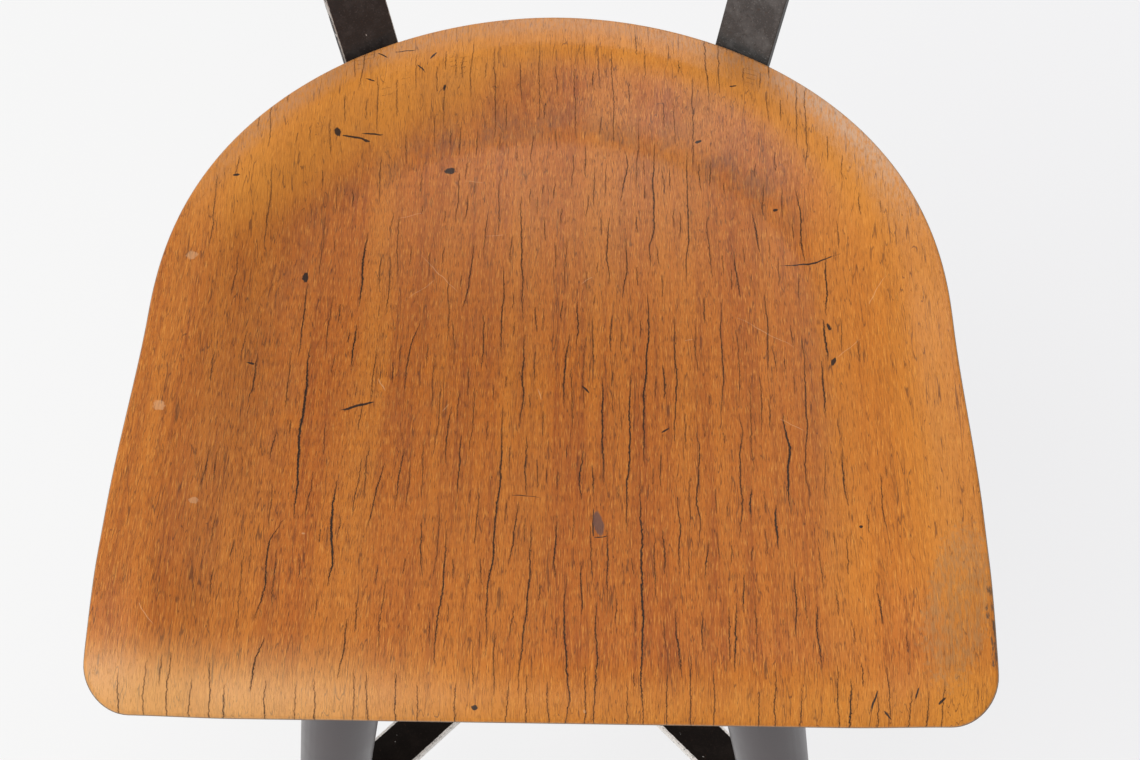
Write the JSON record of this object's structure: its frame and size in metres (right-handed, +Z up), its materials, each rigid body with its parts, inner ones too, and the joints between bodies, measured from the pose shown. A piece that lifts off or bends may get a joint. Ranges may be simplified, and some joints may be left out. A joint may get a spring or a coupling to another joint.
{
  "type": "drafting chair",
  "caption": "Swivelling drafting chair: dished plywood seat, curved backrest on two flat-bar rails, splayed tubular legs and crossed stretcher, raised by a handwheel on a screw spindle.",
  "frame": {"origin": "on the floor, under the middle of the whole chair", "axes": "+Z up, the seat's straight front edge faces -Y, +X to the right as seen from the front; left and right in the names are as seen from the front"},
  "size_m": [0.4134, 0.451, 0.96],
  "materials": {
    "varnished_plywood": "satin varnish, worn, grain front to back",
    "raw_plywood": "bare, dusty",
    "black_enamel": "satin black enamel, chipped at the edges",
    "stretcher_enamel": "black enamel, worn to bright steel along the upper edges",
    "cast_iron_enamel": "black enamel over rough casting",
    "grey_enamel": "satin warm grey enamel",
    "foot_rubber": "matt black",
    "machined_steel": "turned, oiled",
    "zinc_steel": "dull zinc plate",
    "brass": "turned, tarnished",
    "bakelite": "moulded black bakelite"
  },
  "bodies": {
    "base": {"leg_front_left": "grey_enamel", "foot_front_left": "foot_rubber", "leg_screw_front_left": "zinc_steel", "tab_bolt_front_left": "zinc_steel", "leg_front_right": "grey_enamel", "foot_front_right": "foot_rubber", "leg_screw_front_right": "zinc_steel", "tab_bolt_front_right": "zinc_steel", "leg_rear_left": "grey_enamel", "foot_rear_left": "foot_rubber", "leg_screw_rear_left": "zinc_steel", "tab_bolt_rear_left": "zinc_steel", "leg_rear_right": "grey_enamel", "foot_rear_right": "foot_rubber", "leg_screw_rear_right": "zinc_steel", "tab_bolt_rear_right": "zinc_steel", "top_spider": "cast_iron_enamel", "spindle_key": "machined_steel", "thrust_washer": "brass", "cross_bar_a": "stretcher_enamel", "cross_bar_b": "stretcher_enamel", "cross_rivet": "stretcher_enamel"},
    "handwheel": {"handwheel": "bakelite", "nut_insert": "brass"},
    "spindle": {"spindle": "machined_steel", "stop_collar": "machined_steel", "collar_screw": "zinc_steel", "lower_race": "machined_steel", "retaining_nut": "zinc_steel"},
    "bearing": {"ball_cage": "machined_steel"},
    "seat": {"seat_socket": "black_enamel", "upper_race": "machined_steel", "back_rail_left": "black_enamel", "back_rail_right": "black_enamel", "front_arm_left": "black_enamel", "front_arm_right": "black_enamel", "seat_doubler": "raw_plywood", "seat_panel": "varnished_plywood", "carrier_bolt_rear_left": "zinc_steel", "carrier_bolt_rear_right": "zinc_steel", "carrier_bolt_front_left": "zinc_steel", "carrier_bolt_front_right": "zinc_steel", "seat_screw_rear_left_inner": "zinc_steel", "seat_screw_rear_left_outer": "zinc_steel", "seat_screw_rear_right_inner": "zinc_steel", "seat_screw_rear_right_outer": "zinc_steel", "seat_screw_front_left_inner": "zinc_steel", "seat_screw_front_left_outer": "zinc_steel", "seat_screw_front_right_inner": "zinc_steel", "seat_screw_front_right_outer": "zinc_steel"},
    "backrest": {"backrest_panel": "varnished_plywood", "carriage_bolt_left": "zinc_steel", "carriage_bolt_right": "zinc_steel", "clamp_washer_left": "zinc_steel", "clamp_washer_right": "zinc_steel"},
    "wing_nut_left": {"wing_nut_left": "zinc_steel"},
    "wing_nut_right": {"wing_nut_right": "zinc_steel"}
  },
  "joints": [
    {"name": "handwheel_turn", "type": "hinge", "parent": "base", "child": "handwheel", "pos_m": [0, -0.01865, 0.49], "axis": [0, 0, 1], "range_deg": [-6000, 1440]},
    {"name": "spindle_lift", "type": "slide", "parent": "base", "child": "spindle", "axis": [0, 0, 1], "range_m": [-0.0241, 0.1001]},
    {"name": "bearing_roll", "type": "hinge", "parent": "spindle", "child": "bearing", "pos_m": [0, -0.01865, 0.5536], "axis": [0, 0, 1], "continuous": true},
    {"name": "seat_swivel", "type": "hinge", "parent": "spindle", "child": "seat", "pos_m": [0, -0.01865, 0.56], "axis": [0, 0, 1], "continuous": true},
    {"name": "backrest_slide", "type": "slide", "parent": "seat", "child": "backrest", "axis": [0, 0, 1], "range_m": [-0.025, 0.025]},
    {"name": "wing_nut_left_turn", "type": "hinge", "parent": "backrest", "child": "wing_nut_left", "pos_m": [-0.128, 0.19271, 0.885], "axis": [-0.518, 0.8554, 0], "range_deg": [0, 270]},
    {"name": "wing_nut_right_turn", "type": "hinge", "parent": "backrest", "child": "wing_nut_right", "pos_m": [0.128, 0.19271, 0.885], "axis": [0.518, 0.8554, 0], "range_deg": [0, 270]}
  ],
  "couplings": [
    {"joint": "spindle_lift", "follows": "handwheel_turn", "m_per_rad": -0.00095493},
    {"joint": "bearing_roll", "follows": "seat_swivel", "ratio": 0.5}
  ]
}
